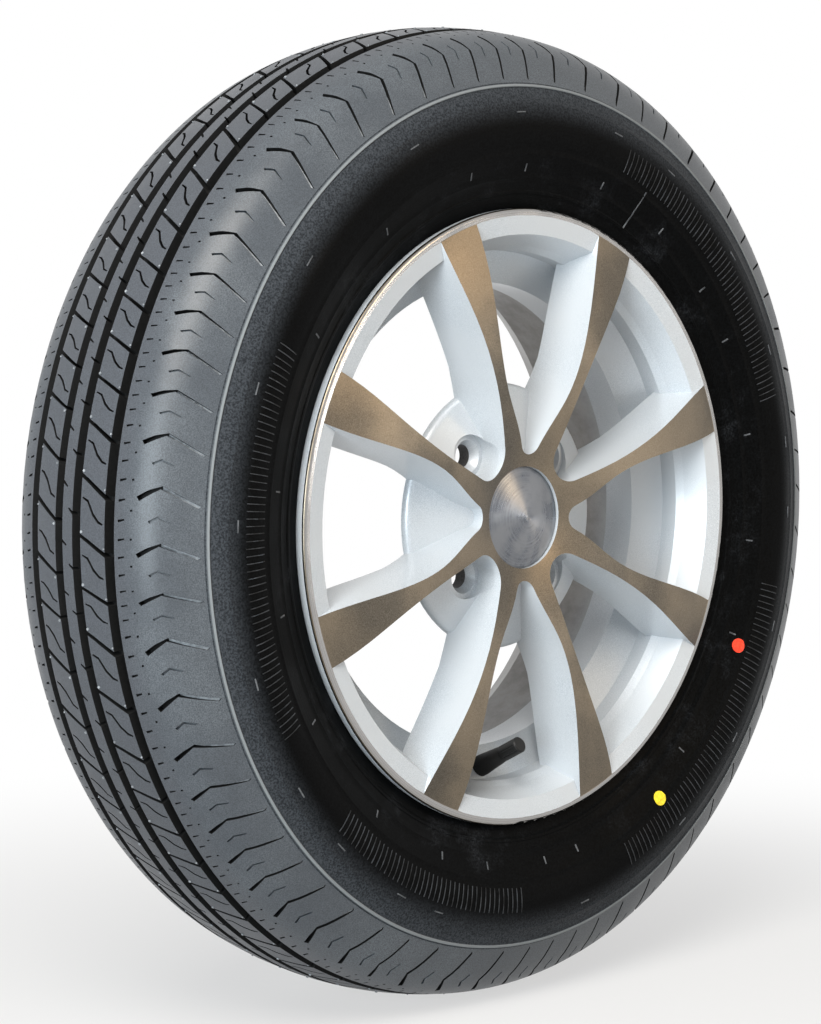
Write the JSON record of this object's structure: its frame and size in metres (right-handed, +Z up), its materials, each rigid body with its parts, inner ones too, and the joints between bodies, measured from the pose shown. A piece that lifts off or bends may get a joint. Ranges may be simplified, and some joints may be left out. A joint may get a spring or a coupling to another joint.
{
  "type": "wheel and tyre assembly",
  "caption": "Cast alloy car wheel with flared flat spokes and painted pockets, a mounted tubeless tyre, a domed centre cap and a snap-in valve with a screwed dust cap.",
  "frame": {"origin": "middle of the wheel: on the axle line, half way between the rim's flanges", "axes": "+Y along the axle towards the car, so the street side faces -Y; +Z up; the valve is at the bottom"},
  "size_m": [0.5815, 0.158, 0.5816],
  "materials": {
    "alloy": "machined and painted",
    "tyre": "matt moulded rubber",
    "cap_chrome": "bright plated",
    "spring_steel": "plain wire",
    "valve_rubber": "moulded",
    "brass": "turned",
    "seal_rubber": "moulded",
    "cap_plastic": "moulded"
  },
  "bodies": {
    "wheel_body": {"wheel": "alloy", "tyre": "tyre", "centre_cap": "cap_chrome", "centre_cap_ring": "spring_steel", "valve_body": "valve_rubber", "valve_insert": "brass", "valve_core_barrel": "brass", "valve_core_gasket": "seal_rubber", "valve_core_spring": "spring_steel"},
    "valve_pin": {"valve_core_pin": "brass", "valve_core_cup": "seal_rubber"},
    "cap_carrier": {"valve_cap_seal": "seal_rubber"},
    "valve_cap": {"valve_cap": "cap_plastic"}
  },
  "joints": [
    {"name": "pin_press", "type": "slide", "parent": "wheel_body", "child": "valve_pin", "axis": [-0.0209, 0.8878, -0.4597], "range_m": [0, 0.0015], "stiffness_N_per_m": 1000, "springref_m": -0.003, "deforming": ["valve_core_spring"]},
    {"name": "cap_lift", "type": "slide", "parent": "wheel_body", "child": "cap_carrier", "axis": [0.0209, -0.8878, 0.4597], "range_m": [0, 0.00715]},
    {"name": "cap_turn", "type": "hinge", "parent": "cap_carrier", "child": "valve_cap", "pos_m": [-0.00627, -0.06098, -0.13806], "axis": [0.0209, -0.8878, 0.4597], "range_deg": [0, 3245]}
  ],
  "couplings": [
    {"joint": "cap_turn", "follows": "cap_lift", "rad_per_m": 7913.3}
  ]
}
